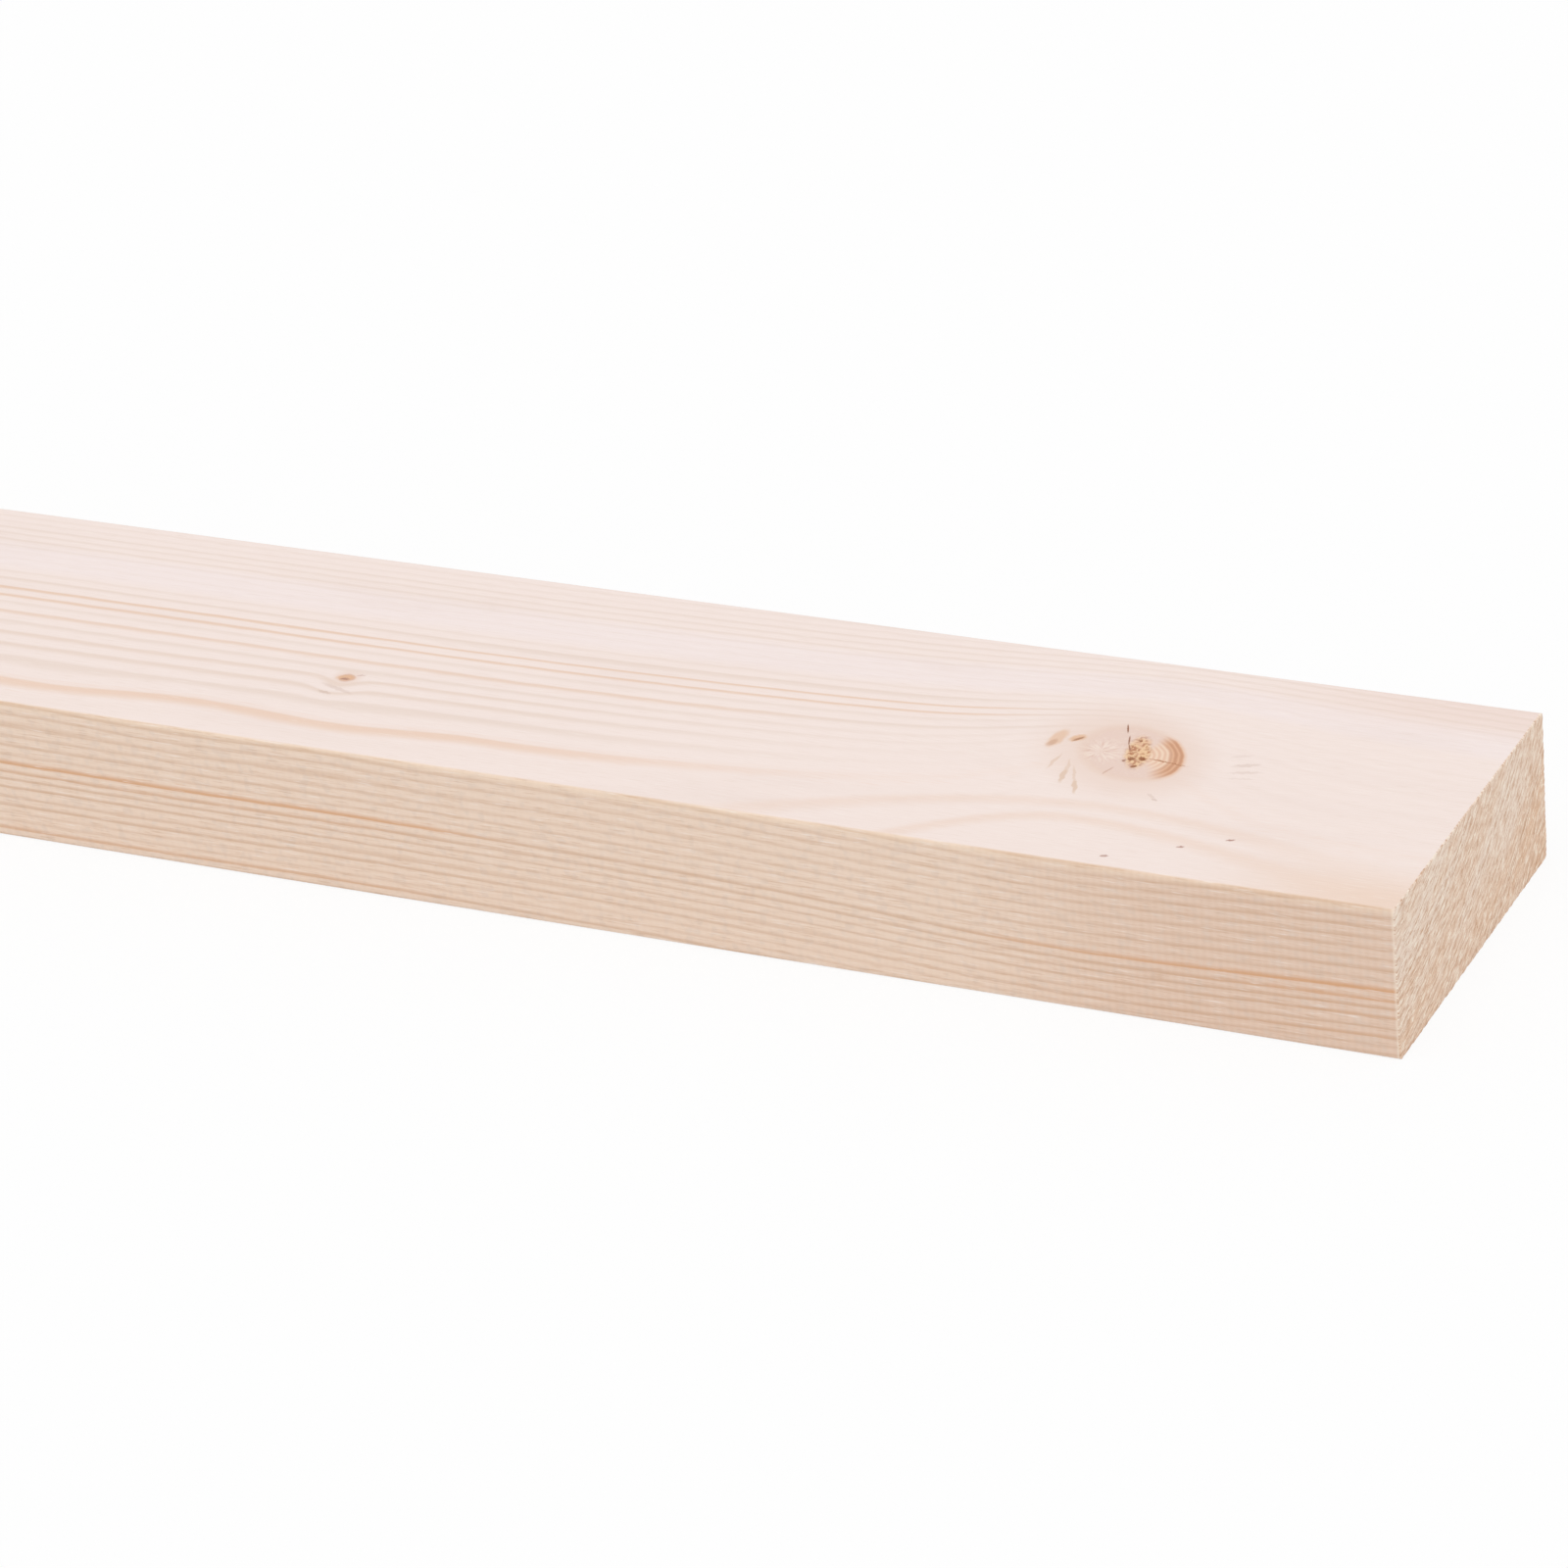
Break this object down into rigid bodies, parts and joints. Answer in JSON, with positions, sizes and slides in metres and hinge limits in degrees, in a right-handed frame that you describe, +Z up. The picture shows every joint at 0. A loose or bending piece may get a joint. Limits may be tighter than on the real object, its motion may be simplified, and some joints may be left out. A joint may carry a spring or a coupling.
{
  "type": "timber plank",
  "caption": "Planed softwood plank of rectangular section, lying flat, with lightly eased long corners and square sawn ends.",
  "frame": {"origin": "under the middle of the plank, on the floor that its wide bottom face rests on", "axes": "+X along the grain to the sawn end that the picture shows, +Y across the width away from the edge that the picture shows, +Z up through the thickness"},
  "size_m": [1.2, 0.09, 0.035],
  "materials": {
    "planed_softwood": "planed, unfinished softwood with fine growth rings and knots; rough sawn ends"
  },
  "bodies": {
    "root": {"plank": "planed_softwood"}
  },
  "joints": []
}
